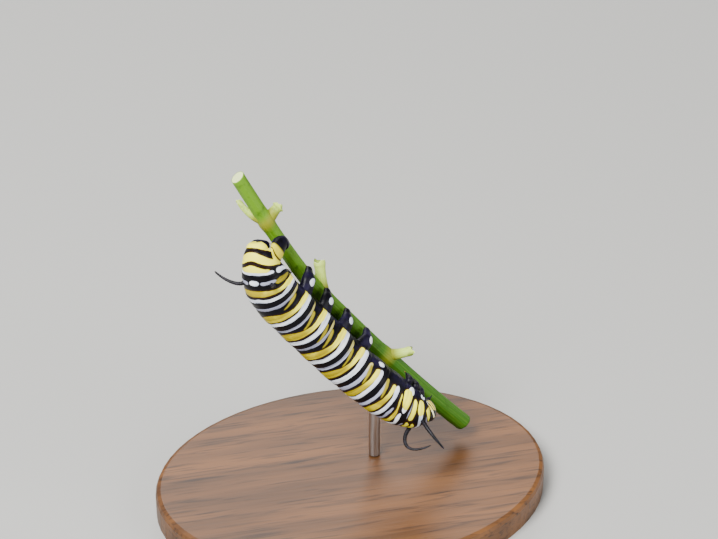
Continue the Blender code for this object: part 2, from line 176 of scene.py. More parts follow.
def draw_out(points, t, angle, root, stations):
    """Draws a leg out of the skin. Inside an oval of the skin, how near a point is to the oval's middle
    becomes how far along the leg it goes, and its bearing from the middle its bearing round the leg.

    root is the oval's middle (t, angle) and its half sizes in millimetres; a station is a point of the leg's
    middle line, a half length along the body and a half width. Returns each point's share of the way along
    the leg, below nought outside the oval, and its bearing.
    """
    root_t, root_angle, long, wide = root
    sense = math.copysign(1.0, root_angle)
    apart = (t - root_t) / long, (angle - root_angle) * float(radius(root_t)) / wide
    near = np.hypot(*apart)
    inside = near < 1.0
    bearing = np.arctan2(-sense * apart[1], -apart[0])
    turn = bearing[inside]
    rings, spans, before = [], [], skin(root_t, root_angle)
    # Two rings lie on the skin, outside the oval and on its rim, so that the leg leaves it smoothly.
    for spread in (1.2, 1.0):
        rings.append(skin(root_t - spread * long * np.cos(turn),
                          root_angle - sense * spread * wide / float(radius(root_t)) * np.sin(turn)))
    for centre, half_length, half_width in stations:
        centre = np.asarray(centre, float)
        course = centre - before
        spans.append(np.linalg.norm(course))
        across = np.cross(course, [1.0, 0.0, 0.0])
        across *= math.copysign(1.0, across[1] * sense) / np.linalg.norm(across)
        along = np.cross(across, course)
        along *= math.copysign(1.0, along[0]) / np.linalg.norm(along)
        rings.append(centre + along * half_length * np.cos(turn)[:, None]
                     + across * half_width * np.sin(turn)[:, None])
        before = centre
    # The sole closes in a point just past the last ring.
    rings.append(np.repeat((centre + 0.06 * course / np.linalg.norm(course))[None], len(turn), axis=0))
    spans.append(half_length)
    knots = np.concatenate([[-0.15, 0.0], np.cumsum(spans) / sum(spans)])
    moved = through(knots, np.array(rings), 1.0 - near[inside])
    points[inside] = moved
    return 1.0 - near, bearing


# Rows run from a pole inside the collar, over its edge, along the body and round the tail's end to a pole.
COLLAR_ROWS, BODY_ROWS, TAIL_ROWS, COLUMNS = 8, 460, 21, 200
COLLAR_DEPTH, TAIL_BULGE, TAIL_ARC, POLE_SHARE = 0.25, 1.2, 1.3, 1e-3
collar = np.linspace(0.0, 1.0, COLLAR_ROWS + 1)[:-1]
tail_end = np.linspace(0.0, math.pi / 2, TAIL_ROWS + 1)[1:]
body_rows = np.linspace(FRONT, REAR, BODY_ROWS)
row_t = np.concatenate([FRONT + COLLAR_DEPTH * (1 - collar) ** 2, body_rows,
                        REAR + TAIL_BULGE * np.sin(tail_end)])
row_scale = np.concatenate([np.maximum(np.sqrt(collar), POLE_SHARE), np.ones(BODY_ROWS),
                            np.maximum(np.cos(tail_end), POLE_SHARE)])
row_along = np.concatenate([np.full(COLLAR_ROWS, FRONT), body_rows, REAR + TAIL_ARC * tail_end])
# Columns crowd together where the prolegs leave the belly.
fine_angle = np.linspace(-math.pi, math.pi, 2001)
crowd = 1.0 + 2.2 * np.exp(-(((np.abs(fine_angle) - math.radians(135)) / math.radians(24)) ** 2))
counted = np.concatenate([[0.0], np.cumsum((crowd[1:] + crowd[:-1]) / 2)])
column = np.interp(np.linspace(0.0, counted[-1], COLUMNS + 1)[:-1], counted, fine_angle)
t_grid, angle_grid = np.meshgrid(row_t, column, indexing="ij")
along_grid = np.repeat(row_along[:, None], COLUMNS, axis=1)
body_points = skin(t_grid, angle_grid, 0.0, row_scale[:, None])

# The four pairs of prolegs: which segment each is on and how far its foot leans ahead, where on the segment
# its root is and the root's half sizes, and where the white spot lies on it, as a share of its length and a
# bearing, with the spot's half sizes.
PROLEGS = ((5, 0.4), (6, -0.1), (7, -0.35), (8, -0.6))
PROLEG_ALONG, PROLEG_ANGLE, PROLEG_OVAL = 0.47, math.radians(140), (1.45, 1.1)
SPOT_AT, SPOT_LONG = 0.32, 0.11
SPOT_BEARING, SPOT_WIDE = math.radians(74), math.radians(31)
leg_reach, leg_spot = np.full_like(t_grid, -1.0), np.full_like(t_grid, -1.0)
feet = []
for segment, lean in PROLEGS:
    middle_t = EDGES[segment] + PROLEG_ALONG * LENGTHS[segment]
    foot_x = float(skin(middle_t, PROLEG_ANGLE)[0]) + lean
    _, aside, level = stem_point(foot_x)
    for sense in (1.0, -1.0):
        stations = (
            ((foot_x - 0.1, aside + 2.75 * sense, level + 2.1), 1.15, 0.84),
            ((foot_x - 0.15, aside + 2.6 * sense, level + 1.55), 1.0, 0.7),
            ((foot_x - 0.2, aside + 2.38 * sense, level + 0.95), 0.78, 0.52),
            ((foot_x - 0.25, aside + 2.22 * sense, level + 0.5), 0.7, 0.48),
            ((foot_x - 0.25, aside + 2.1 * sense, level + 0.1), 0.5, 0.34))
        reach, bearing = draw_out(
            body_points, t_grid, angle_grid, (middle_t, sense * PROLEG_ANGLE, *PROLEG_OVAL), stations)
        leg_reach = np.maximum(leg_reach, reach)
        round_leg = np.angle(np.exp(1j * (bearing - SPOT_BEARING)))
        spot = 1.0 - np.hypot((reach - SPOT_AT) / SPOT_LONG, round_leg / SPOT_WIDE)
        leg_spot = np.where(reach > 0, spot, leg_spot)
        feet.append((*stations[-1], sense))

# The pair of anal prolegs under the tail.
TAIL_LEG_AT, TAIL_LEG_ANGLE, TAIL_LEG_OVAL = EDGES[11] + 1.25, math.radians(120), (1.3, 1.35)
foot_x = -18.7
anal_reach = np.full_like(t_grid, -1.0)
_, aside, level = stem_point(foot_x)
for sense in (1.0, -1.0):
    stations = (
        ((foot_x - 1.35, aside + 2.3 * sense, level + 2.15), 1.25, 1.0),
        ((foot_x - 0.7, aside + 2.3 * sense, level + 1.5), 1.12, 0.85),
        ((foot_x - 0.15, aside + 2.05 * sense, level + 0.95), 0.85, 0.55),
        ((foot_x + 0.1, aside + 1.75 * sense, level + 0.55), 0.5, 0.3))
    reach, bearing = draw_out(
        body_points, t_grid, angle_grid, (TAIL_LEG_AT, sense * TAIL_LEG_ANGLE, *TAIL_LEG_OVAL), stations)
    anal_reach = np.maximum(anal_reach, reach)
    feet.append((*stations[-1], sense))


def surface(name, points):
    """A grid of points as a mesh: columns run round and meet, and each end row is gathered in one pole."""
    rows, columns = points.shape[:2]
    index = np.arange(rows * columns).reshape(rows, columns)
    over = np.roll(index, -1, axis=1)
    faces = np.stack([index[:-1], over[:-1], over[1:], index[1:]], -1).reshape(-1, 4).tolist()
    first, last = rows * columns, rows * columns + 1
    faces += np.stack([over[0], index[0], np.full(columns, first)], -1).tolist()
    faces += np.stack([index[-1], over[-1], np.full(columns, last)], -1).tolist()
    where = np.concatenate([points.reshape(-1, 3), points[:1].mean(axis=1), points[-1:].mean(axis=1)])
    mesh = bpy.data.meshes.new(name)
    mesh.from_pydata(place(where), [], faces)
    if signed_volume(mesh) < 0:
        mesh.flip_normals()
    mesh.shade_smooth()
    piece = bpy.data.objects.new(name, mesh)
    bpy.context.scene.collection.objects.link(piece)
    return piece


def signed_volume(mesh):
    """The mesh's signed volume: the sum of each triangle's corners' triple product over six."""
    mesh.calc_loop_triangles()
    corners = np.empty(len(mesh.loop_triangles) * 3, np.int32)
    mesh.loop_triangles.foreach_get("vertices", corners)
    points = np.empty(len(mesh.vertices) * 3, np.float32)
    mesh.vertices.foreach_get("co", points)
    a, b, c = np.moveaxis(points.reshape(-1, 3)[corners.reshape(-1, 3)].astype(float), 1, 0)
    return float((a * np.cross(b, c)).sum()) / 6


def attribute(piece, name, values):
    """Stores one number a vertex under the name; each pole takes its end row's mean."""
    flat = np.concatenate([values.reshape(-1), [values[0].mean(), values[-1].mean()]])
    layer = piece.data.attributes.new(name, "FLOAT", "POINT")
    layer.data.foreach_set("value", flat.astype(np.float32))


END_ROUND = 0.55


def band(angles, fronts, rears):
    """How far inside a band each point of the skin lies, in millimetres, below nought outside it.

    The band's front and rear edges are given in t at some angles from the back's middle line, and run
    straight between them. It ends, rounded off over END_ROUND, at its last angle, and at its first unless
    that is nought.
    """
    away = np.degrees(np.abs(angle_grid))
    front, rear = np.interp(away, angles, fronts), np.interp(away, angles, rears)
    arc = np.radians(1.0) * radius(np.clip(t_grid, FRONT, REAR))
    inside = np.minimum(along_grid - front, rear - along_grid)
    for end in [angles[-1] - away] + ([away - angles[0]] if angles[0] > 0 else []):
        end = end * arc
        corner = np.clip(END_ROUND - np.abs(inside - end), 0.0, None)
        inside = np.minimum(inside, end) - 0.25 * corner ** 2 / END_ROUND
    return inside


# The bands of each abdomen segment, by its number in EDGES, where 3 is abdomen segment 1, from its front edge
# and in millimetres: the white's front and rear, how much further back they lie on the back's middle line,
# the yellow's front, its rear there and on the flank, the angle down the flank where both end, the grey
# line's front and rear, and where the olive streak lies. The last one's grey line has no width, and its
# streak lies two segments ahead of it, at the front of number 7.
ABDOMEN_BANDS = {
    3: (1.15, 1.72, 0.05, 2.05, 3.1, 2.7, 93, 3.45, 3.95, 3.2),
    4: (1.05, 1.66, -0.1, 1.78, 2.9, 2.58, 99, 3.3, 4.0, 3.0),
    5: (0.78, 1.72, 0.08, 2.4, 4.0, 3.3, 116, 4.45, 5.1, 3.8),
    6: (1.4, 2.22, 0.25, 2.72, 4.3, 3.62, 121, 4.95, 5.5, 4.3),
    7: (1.43, 2.2, 0.2, 2.72, 4.3, 3.5, 126, 4.72, 5.2, 4.0),
    8: (1.36, 2.03, 0.2, 2.4, 3.9, 3.2, 130, 4.85, 5.45, 4.2),
    9: (1.7, 2.3, 0.2, 2.85, 3.9, 3.5, 128, 0.0, 0.0, -9.0),
}
# The bands of the thorax and the tail, and the extra spots: angles in degrees, then the front and rear edge
# at each, in millimetres along the body.
MORE_WHITE = (
    ((0, 15, 30, 56), (2.15, 2.25, 2.3, 2.25), (2.45, 2.6, 2.75, 2.95)),
    ((0, 20, 30, 40), (5.05, 5.25, 5.4, 5.5), (5.4, 5.75, 5.85, 5.7)),
    ((76, 84, 92, 104), (0.6, 0.6, 0.65, 0.75), (0.92, 1.08, 1.12, 1.0)),
    ((94, 100, 106, 112), (1.65, 1.45, 1.4, 1.7), (2.3, 2.55, 2.5, 2.2)),
    ((38, 46, 58), (5.22, 5.12, 5.02), (5.32, 5.68, 6.0)),
    ((92, 99, 107, 116), (4.6, 4.45, 4.3, 4.5), (5.6, 5.85, 5.7, 5.2)),
    ((104, 110, 117), (12.2, 12.0, 12.2), (13.1, 13.3, 13.1)),
    ((0, 8, 16), (38.6, 38.65, 38.85), (39.35, 39.3, 39.1)),
    ((0, 20, 45, 70), (40.05, 40.0, 39.9, 39.8), (40.55, 40.5, 40.35, 40.2)),
    ((74, 85, 95, 108, 124), (39.5, 39.35, 39.3, 39.1, 38.6), (40.0, 40.1, 40.0, 39.75, 39.3)),
)
MORE_YELLOW = (
    ((0, 30, 60, 74), (0.5, 0.78, 0.6, 0.9), (0.95, 1.35, 1.6, 1.2)),
    ((0, 8, 18), (2.85, 2.95, 3.2), (3.25, 3.35, 3.4)),
    ((0, 8, 18), (3.55, 3.6, 3.85), (4.0, 4.05, 4.1)),
    ((22, 30, 60, 80, 89), (3.75, 3.6, 3.55, 3.55, 3.8), (4.05, 4.15, 4.2, 4.25, 4.1)),
    ((44, 52, 62, 75, 90), (2.3, 2.2, 2.15, 2.1, 2.1), (2.85, 3.1, 3.25, 3.25, 3.1)),
    ((0, 20, 32, 45, 60, 84), (5.85, 5.95, 6.05, 6.3, 6.55, 6.8), (6.35, 6.45, 6.45, 6.55, 6.85, 7.1)),
    ((50, 57, 65, 80, 92, 102), (5.05, 5.0, 4.95, 4.85, 4.8, 4.9), (5.8, 6.0, 6.2, 6.45, 6.6, 6.3)),
    ((0, 10, 25, 45, 58), (40.4, 40.4, 40.3, 40.15, 40.2), (41.38, 41.33, 41.05, 40.65, 40.55)),
    ((0, 15, 30, 45, 60, 75, 90, 120), (41.95, 41.85, 41.58, 41.3, 41.02, 40.78, 40.57, 40.2),
     (43.0, 42.95, 42.78, 42.52, 42.2, 41.78, 41.45, 40.9)),
    ((0, 30, 45, 60, 75, 90, 105, 150), (43.65, 43.55, 43.42, 43.22, 43.05, 42.9, 42.5, 42.1), (46.0,) * 8),
)
MORE_GREY = (
    ((0, 20, 42), (1.15, 1.3, 1.5), (1.45, 1.55, 1.65)),
    ((0, 12), (4.2, 4.35), (4.55, 4.6)),
    ((25, 45, 82), (4.3, 4.35, 4.35), (4.4, 4.6, 4.45)),
    ((0, 20, 44), (6.8, 6.85, 6.9), (7.15, 7.3, 7.2)),
    ((17, 45, 64), (38.6, 38.5, 38.5), (39.1, 39.0, 38.9)),
)
MORE_OLIVE = (
    ((54, 62, 75, 90, 105, 122), (38.3, 38.05, 37.95, 37.8, 37.65, 37.4),
     (38.5, 38.8, 38.9, 38.7, 38.45, 38.0)),
)
white, yellow, grey, olive = (np.full_like(t_grid, -1.0) for _ in range(4))
for segment, (w0, w1, back, y0, y_back, y_flank, end, g0, g1, streak) in ABDOMEN_BANDS.items():
    start = EDGES[segment]
    for stripe, angles, fronts, rears in (
            (white, (0, 25, 60, 82, end), (w0 + back, w0, w0, w0 + 0.05, w0 + 0.25),
             (w1 + back, w1, w1, w1 + 0.35, w1 + 0.3)),
            (yellow, (0, 14, 30, 60, 80, 90, end - 3),
             (y0 + 0.4 * back, y0, y0, y0 - 0.05, y0 - 0.1, w1 + 0.2, w1 + 0.2),
             (y_back, y_back - 0.1, 0.4 * y_back + 0.6 * y_flank, y_flank - 0.1, y_flank,
              y_flank + 0.05, y_flank - 0.2)),
            (grey, (0, 20, 45, 75, 100, end), (g0, g0, g0 - 0.05, g0 + 0.1, g0 + 0.15, g0 + 0.2),
             (g1, g1 - 0.05, g1 - 0.1, g1 + 0.05, g1 + 0.1, g1)),
            (olive, (38, 50, 70, 94), (streak - 0.35, streak - 0.25, streak, streak + 0.45),
             (streak - 0.15, streak + 0.1, streak + 0.6, streak + 0.95))):
        np.maximum(stripe, band(angles, start + np.array(fronts), start + np.array(rears)), out=stripe)
for stripe, more in ((white, MORE_WHITE), (yellow, MORE_YELLOW), (grey, MORE_GREY), (olive, MORE_OLIVE)):
    for angles, fronts, rears in more:
        np.maximum(stripe, band(angles, fronts, rears), out=stripe)
# The anal prolegs' roots are yellow with no white on them, and they are black from 0.3 of their length on.
yellow = np.maximum(yellow, 2.0 * anal_reach)
white = np.where(anal_reach > -0.05, -1.0, white)
black_leg = np.maximum(leg_reach, 2.0 * anal_reach - 0.672)
# The yellow is golden on the back, from the third thorax segment to the tail, and cream elsewhere.
flank = np.degrees(np.abs(angle_grid))
gold = 1.0 - smoothstep((flank - 38.0) / 34.0)
gold = gold * smoothstep((along_grid - 2.0) / 4.0) * (1.0 - smoothstep((along_grid - 38.6) / 1.2))
gold = np.maximum(gold, 0.6 * smoothstep(anal_reach / 0.15))
body = surface("body_skin", body_points)
for name, values in (("white_band", white), ("yellow_band", yellow), ("grey_band", grey),
                     ("olive_band", olive), ("gold", gold), ("flank", flank / 180.0), ("leg", black_leg),
                     ("leg_spot", leg_spot), ("tail_leg", anal_reach)):
    attribute(body, name, values)


def linear(colour):
    """An sRGB hex colour as linear red, green, blue and alpha."""
    parts = [int(colour[k:k + 2], 16) / 255 for k in (1, 3, 5)]
    return (*(part / 12.92 if part <= 0.04045 else ((part + 0.055) / 1.055) ** 2.4 for part in parts), 1.0)


def node(tree, kind, links=(), out=0, **settings):
    """Adds a node and returns its output: links maps an input's name or number to a socket, a value or a
    hex colour, and settings are the node's own properties."""
    made = tree.nodes.new("ShaderNode" + kind)
    for name, value in settings.items():
        setattr(made, name, value)
    for key, value in dict(links).items():
        if isinstance(value, bpy.types.NodeSocket):
            tree.links.new(value, made.inputs[key])
        else:
            made.inputs[key].default_value = linear(value) if isinstance(value, str) else value
    return made.outputs[out]


def painted(tree, ground, *layers):
    """Lays colours over a ground in turn; a layer is a value, where it starts and is full, and a colour."""
    for value, start, full, colour in layers:
        share = node(tree, "MapRange", {0: value, 1: start, 2: full})
        ground = node(tree, "Mix", {0: share, 6: ground, 7: colour}, 2, data_type="RGBA")
    return ground


def finish(name, **values):
    """A new material with its Principled shader's constant values set; returns material, tree and shader."""
    made = bpy.data.materials.new(name)
    made.use_nodes = True
    shader = made.node_tree.nodes["Principled BSDF"]
    for key, value in values.items():
        shader.inputs[key.replace("_", " ")].default_value = value
    return made, made.node_tree, shader


# Living cuticle: a thin waxy skin, satin, so the light lies on each fold as a soft streak. The black is a
# purplish black, and the white, cream and yellow are pigment under it. Its blotches are 2.4 mm across, its
# wrinkles 0.4 mm, and the bands' edges waver by up to 0.08 mm every 1.1 mm.
INK, PLUM, CREAM, GOLD, LEMON, OLIVE = "#030207", "#1A1430", "#FFF63E", "#A49200", "#F2E43A", "#948610"
ASH, TAN, CHALK, MILK, BROWN, CREASE_SHADE_BROWN = "#9A9CB2", "#C9BE6C", "#CED8EA", "#FCFDFF", "#2C1806", "#3A2208"
SOFT_EDGE, TAIL_LEG_CREASE = (-0.04, 0.05), 0.13
larva_skin, tree, shader = finish("satin larval cuticle", Roughness=0.44, IOR=1.4, Specular_IOR_Level=0.19)
where = node(tree, "TexCoord", out="Object")
blotch = node(tree, "TexNoise", {"Vector": where, "Scale": 420.0, "Detail": 3.0})
wrinkle = node(tree, "TexNoise", {"Vector": where, "Scale": 2600.0, "Detail": 3.0})
waver = node(tree, "TexNoise", {"Vector": where, "Scale": 900.0, "Detail": 2.0})
waver = node(tree, "Math", {0: waver, 1: -0.5}, operation="ADD")
waver = node(tree, "Math", {0: waver, 1: 0.16}, operation="MULTIPLY")
mark = {name: node(tree, "Attribute", out="Fac", attribute_name=name) for name in (
    "white_band", "yellow_band", "grey_band", "olive_band", "gold", "flank", "leg", "leg_spot", "tail_leg")}
edge = {name: node(tree, "Math", {0: mark[name + "_band"], 1: waver}, operation="ADD")
        for name in ("white", "yellow", "grey", "olive")}
low_flank = node(tree, "MapRange", {0: mark["flank"], 1: 0.5, 2: 0.6})
cloudy = node(tree, "MapRange", {0: blotch, 1: 0.42, 2: 0.68})
plum = node(tree, "Math", {0: low_flank, 1: cloudy}, operation="MULTIPLY")
# Painted shade: the crease round the root of each anal proleg is drawn as a thin dark brown ring.
crease = node(tree, "Math", {0: mark["tail_leg"], 1: -TAIL_LEG_CREASE}, operation="ADD")
crease = node(tree, "Math", {0: crease}, operation="ABSOLUTE")
black = painted(tree, INK, (plum, 0.0, 1.0, PLUM))
chalk = painted(tree, CHALK, (blotch, 0.35, 0.75, MILK))
# A band's colour comes in at its edge, in millimetres, and brown shows as a thin rim round the yellow.
coat = painted(
    tree, black,
    (edge["grey"], *SOFT_EDGE, painted(tree, ASH, (mark["flank"], 0.38, 0.5, TAN))),
    (mark["yellow_band"], -0.34, -0.04, BROWN),
    (edge["olive"], -0.05, 0.12, OLIVE),
    (edge["white"], *SOFT_EDGE, chalk),
    (edge["yellow"], *SOFT_EDGE,
     painted(tree, CREAM, (mark["gold"], 0.0, 1.0, GOLD), (blotch, 0.5, 0.95, LEMON))),
    # The painted crease shade at the anal prolegs' roots.
    (crease, 0.03, 0.01, CREASE_SHADE_BROWN),
    (mark["leg"], -0.12, -0.04, black),
    (mark["leg_spot"], 0.0, 0.15, chalk))
tree.links.new(coat, shader.inputs["Base Color"])
tree.links.new(node(tree, "Bump", {"Height": wrinkle, "Strength": 0.25, "Distance": 0.00006}),
               shader.inputs["Normal"])
tree.links.new(node(tree, "MapRange", {0: blotch, 1: 0.2, 2: 0.8, 3: 0.34, 4: 0.5}),
               shader.inputs["Roughness"])
body.data.materials.append(larva_skin)
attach(body, "root")
flesh = ["thorax_%d" % k for k in (1, 2, 3)] + ["abdomen_%d" % k for k in range(1, 9)] + ["abdomen_9_10"]
flesh += ["proleg_%d_%s" % (k, side) for k in (3, 4, 5, 6) for side in ("left", "right")]
flesh += ["anal_proleg_left", "anal_proleg_right"]
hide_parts(*flesh)

# The head: a hard, glossy capsule of two domed lobes with a groove between, black with yellow stripes that
# run down both sides of the face. It is set in the collar of the first segment and looks down the stem.
HEAD_CENTRE = axis_point(EDGES[0]) + 0.6 * heading(EDGES[0]) + np.array([0.0, 0.0, 0.3])
HEAD_HALF = np.array([1.3, 1.75, 1.85])
GROOVE, CHEEK, JAW, BROW = 0.07, 0.16, 0.16, 0.05
face_way = np.array([0.58, 0.5, -0.64])
face_way /= np.linalg.norm(face_way)
face_left = np.cross([0.0, 0.0, 1.0], face_way)
face_left /= np.linalg.norm(face_left)
head_axes = np.array([face_way, face_left, np.cross(face_way, face_left)])


def head_local(tip, round_it):
    """A point of the capsule from its angle from the crown and its bearing round the head, from the face.

    An oval, narrower at the cheeks, pressed in along the middle line of the crown and brow, and
    drawn forward at the jaws; the triangle over the mouth is a little sunk.
    """
    ahead, side, high = np.sin(tip) * np.cos(round_it), np.sin(tip) * np.sin(round_it), np.cos(tip)
    front = np.clip(ahead, 0.0, 1.0)
    groove = np.exp(-((side / 0.1) ** 2)) * np.clip(0.25 + high, 0.0, 1.0)
    jaw = np.exp(-(((high + 0.72) / 0.28) ** 2)) * np.exp(-((side / 0.42) ** 2)) * front
    brow_half = 0.12 + 0.25 * np.clip(0.3 - high, 0.0, 1.0)
    brow = np.exp(-(((high + 0.18) / 0.22) ** 2) - (side / brow_half) ** 2)
    cheek = 1.0 - CHEEK * smoothstep((-high - 0.1) / 0.9)
    size = 1.0 - GROOVE * groove + JAW * jaw - BROW * brow * front
    shape = np.stack([ahead * HEAD_HALF[0], side * HEAD_HALF[1] * cheek, high * HEAD_HALF[2]], -1)
    return shape * size[..., None]


tip_grid, bearing_grid = np.meshgrid(
    np.linspace(0.01, math.pi - 0.01, 110), np.linspace(-math.pi, math.pi, 161)[:-1], indexing="ij")
local = head_local(tip_grid, bearing_grid)
head = surface("head_capsule", HEAD_CENTRE + local @ head_axes)
# How far inside a stripe each point lies, in millimetres: a bar beside the face's triangle, one down the side
# of the face, and two behind it that slant back as they rise. The mouth under them is pale.
out, side, high = np.moveaxis(local, -1, 0)
side = np.abs(side)
slant = out - 0.29 * high
inner = 0.13 - np.abs(side - 0.12 - 0.5 * np.clip(0.75 - high, 0.0, 2.0)) * 0.85
inner = np.minimum(np.minimum(inner, 0.85 - high), np.minimum(high + 1.0, out - 0.5))
outer = np.minimum(np.minimum(0.14 - np.abs(slant + 0.1), 0.8 * (side - 0.5)), high + 1.0)
behind = np.maximum(0.11 - np.abs(slant - 0.33), 0.13 - np.abs(slant - 0.69))
behind = np.minimum(np.minimum(behind, 0.8 - high), np.minimum(side - 0.7, high + 1.0))
stripes = np.maximum(np.maximum(inner, outer), behind)
pale_share = smoothstep((np.abs(high - 0.2) - 0.4) / 0.5) * (slant < 0.1)
mouth = 0.26 - np.hypot(side * 0.7, high + 1.05) - 1.0 * (out < 0.6)
for name, values in (("stripe", stripes), ("lip", mouth), ("pale", pale_share)):
    attribute(head, name, values)

# Hard cuticle: smooth, near-black and glossy, with its stripes a clear yellow and paler at their edges. Its
# dimples are 0.7 mm across.
head_shell, tree, shader = finish("glossy head cuticle", Roughness=0.28, IOR=1.5, Specular_IOR_Level=0.4)
where = node(tree, "TexCoord", out="Object")
speck = node(tree, "TexNoise", {"Vector": where, "Scale": 1500.0, "Detail": 2.0})
ragged = node(tree, "MapRange", {0: speck, 1: 0.2, 2: 0.8, 3: -0.03, 4: 0.03})
mark = {name: node(tree, "Attribute", out="Fac", attribute_name=name) for name in ("stripe", "lip", "pale")}
stripe = node(tree, "Math", {0: mark["stripe"], 1: ragged}, operation="ADD")
shell = painted(
    tree, "#07060B",
    (stripe, -0.02, 0.03, "#F4EC8A"),
    (stripe, 0.02, 0.07, painted(tree, "#E8CC28", (mark["pale"], 0.0, 1.0, "#F0F2DC"))),
    (mark["lip"], -0.02, 0.05, "#D9CDA0"))
tree.links.new(shell, shader.inputs["Base Color"])
tree.links.new(node(tree, "Bump", {"Height": speck, "Strength": 0.2, "Distance": 0.00004}),
               shader.inputs["Normal"])
head.data.materials.append(head_shell)
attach(head, "root")
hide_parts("head")

# Face parts: six bead eyes low on each cheek, a short two-jointed antenna beside each jaw, the jaws and the
# feelers of the mouth. They are hard cuticle like the head, each set into it.

# An eye's place on the cheek, in shares of the head's half width and height, and its radius.
EYES = ((0.62, -0.22, 0.09), (0.7, -0.33, 0.1), (0.73, -0.45, 0.1), (0.69, -0.57, 0.09),
        (0.58, -0.6, 0.08), (0.5, -0.46, 0.08))
# An antenna, a jaw and a feeler: the root's place on the head and its lift, the way it points, where its
# rings are along it and their sizes, how many sides it has, and how flat it is.
MOUTH_PARTS = (
    ((0.4, -0.72, -0.1), (0.75, 0.3, -0.6), (0.0, 0.12, 0.3, 0.36, 0.38, 0.62, 0.66, 0.68, 0.86, 0.9),
     (0.16, 0.17, 0.15, 0.1, 0.11, 0.1, 0.06, 0.065, 0.05, 0.01), 12, 1.0),
    ((0.2, -0.86, -0.15), (0.75, -0.12, -0.65), np.linspace(0.0, 0.62, 8),
     (0.3, 0.33, 0.33, 0.31, 0.27, 0.22, 0.15, 0.02), 16, 0.7),
    ((0.16, -0.95, -0.1), (0.35, 0.1, -0.93), np.linspace(0.0, 0.5, 7),
     (0.15, 0.16, 0.12, 0.12, 0.09, 0.06, 0.01), 10, 1.0),
)


def on_head(side, high, lift=0.0):
    """The capsule's point straight ahead of a place given in shares of its half width and height."""
    tip = np.arccos(np.clip(high, -1.0, 1.0))
    round_it = np.arcsin(np.clip(side / np.maximum(np.sin(tip), 1e-6), -1.0, 1.0))
    here = head_local(np.array(tip), np.array(round_it))
    return HEAD_CENTRE + (here * (1.0 + lift / np.linalg.norm(here))) @ head_axes


def bead(centre, half):
    """A ball of radius half: the centre plus half times each direction from pole to pole and round."""
    tip = np.linspace(0.05, math.pi - 0.05, 9)[:, None, None]
    turn = np.linspace(0.0, 2 * math.pi, 12, endpoint=False)[None, :, None]
    return centre + half * (np.sin(tip) * np.cos(turn) * [1, 0, 0] + np.sin(tip) * np.sin(turn) * [0, 1, 0]
                            + np.cos(tip) * np.array([0, 0, 1]))


def sleeve(route, sizes, columns, across=(1.0, 0.0, 0.0), flat=1.0):
    """Rings square to the route, each of its size along one axis and flat times it along the other."""
    ahead = np.gradient(route, axis=0)
    side = np.cross(ahead, np.broadcast_to(np.asarray(across, float), ahead.shape))
    side /= np.linalg.norm(side, axis=1)[:, None]
    over = np.cross(ahead, side)
    over /= np.linalg.norm(over, axis=1)[:, None]
    turn = np.linspace(0.0, 2 * math.pi, columns, endpoint=False)[None, :, None]
    sizes = np.asarray(sizes, float)[:, None, None]
    return route[:, None] + sizes * (np.cos(turn) * side[:, None] + flat * np.sin(turn) * over[:, None])


def joined(name, grids):
    """Several closed grids as one mesh: surface() makes each, then all points and faces are put together."""
    where, faces, count = [], [], 0
    for bit in [surface(name + "_bit", grid) for grid in grids]:
        mesh = bit.data
        points = np.empty(len(mesh.vertices) * 3)
        mesh.vertices.foreach_get("co", points)
        where.append(points.reshape(-1, 3))
        faces += [[corner + count for corner in face.vertices] for face in mesh.polygons]
        count += len(mesh.vertices)
        bpy.data.objects.remove(bit)
        bpy.data.meshes.remove(mesh)
    mesh = bpy.data.meshes.new(name)
    mesh.from_pydata(np.concatenate(where), [], faces)
    mesh.shade_smooth()
    piece = bpy.data.objects.new(name, mesh)
    bpy.context.scene.collection.objects.link(piece)
    return piece


eyes = joined("bead_eyes", [bead(on_head(sense * side, high, -0.02), half)
                            for side, high, half in EYES for sense in (1.0, -1.0)])
mouth_parts = []
for sense in (1.0, -1.0):
    for (aside, level, lift), (ahead, out, up), steps, sizes, columns, flat in MOUTH_PARTS:
        way = np.array([ahead, out * sense, up]) @ head_axes
        route = on_head(sense * aside, level, lift) + np.array(steps)[:, None] * way
        mouth_parts.append(sleeve(route, sizes, columns, flat=flat))
jaws = joined("mouth_parts", mouth_parts)
# Black cuticle with a dull shine: it takes the light as small soft glints, over a cloud 0.8 mm across of a
# slightly bluer black.
horn, tree, shader = finish("dark glossy cuticle", Roughness=0.44, IOR=1.5, Specular_IOR_Level=0.16)
where = node(tree, "TexCoord", out="Object")
cloud = node(tree, "TexNoise", {"Vector": where, "Scale": 1200.0, "Detail": 2.0})
tree.links.new(painted(tree, "#050309", (cloud, 0.35, 0.75, "#151022")), shader.inputs["Base Color"])
tree.links.new(node(tree, "Bump", {"Height": cloud, "Strength": 0.2, "Distance": 0.00005}),
               shader.inputs["Normal"])
for piece in (eyes, jaws):
    piece.data.materials.append(horn)
    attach(piece, "root")

# Four soft black tentacles: a long pair on the second thorax segment, the right one bent over, and a short
# pair on the eighth abdomen segment. Each is a thread of skin that grows from a wider root.

# A tentacle's place on the skin (t and degrees), the three points that bend it, from its root, and its size.
TENTACLES = (
    ("front_tentacle_left", 2.1, 28.0, ((0.3, 1.3, 1.5), (1.8, 2.3, 2.5), (3.6, 2.5, 2.8)), 0.33),
    ("front_tentacle_right", 2.7, -35.0, ((0.3, -1.3, 1.5), (2.1, -1.2, 3.9), (2.9, 2.9, 1.4)), 0.33),
    ("rear_tentacle_left", EDGES[10] + 0.75, 45.0,
     ((-0.4, 0.8, 0.6), (-1.0, 1.7, 1.2), (-1.6, 2.5, 1.4)), 0.3),
    ("rear_tentacle_right", EDGES[10] + 0.75, -45.0,
     ((-0.6, -0.9, 0.5), (-2.0, -2.2, 0.2), (-3.2, -3.0, -0.4)), 0.3),
)
TIP_SIZE, ROOT_SWELL, RING_SWELL = 0.13, 0.16, 0.014


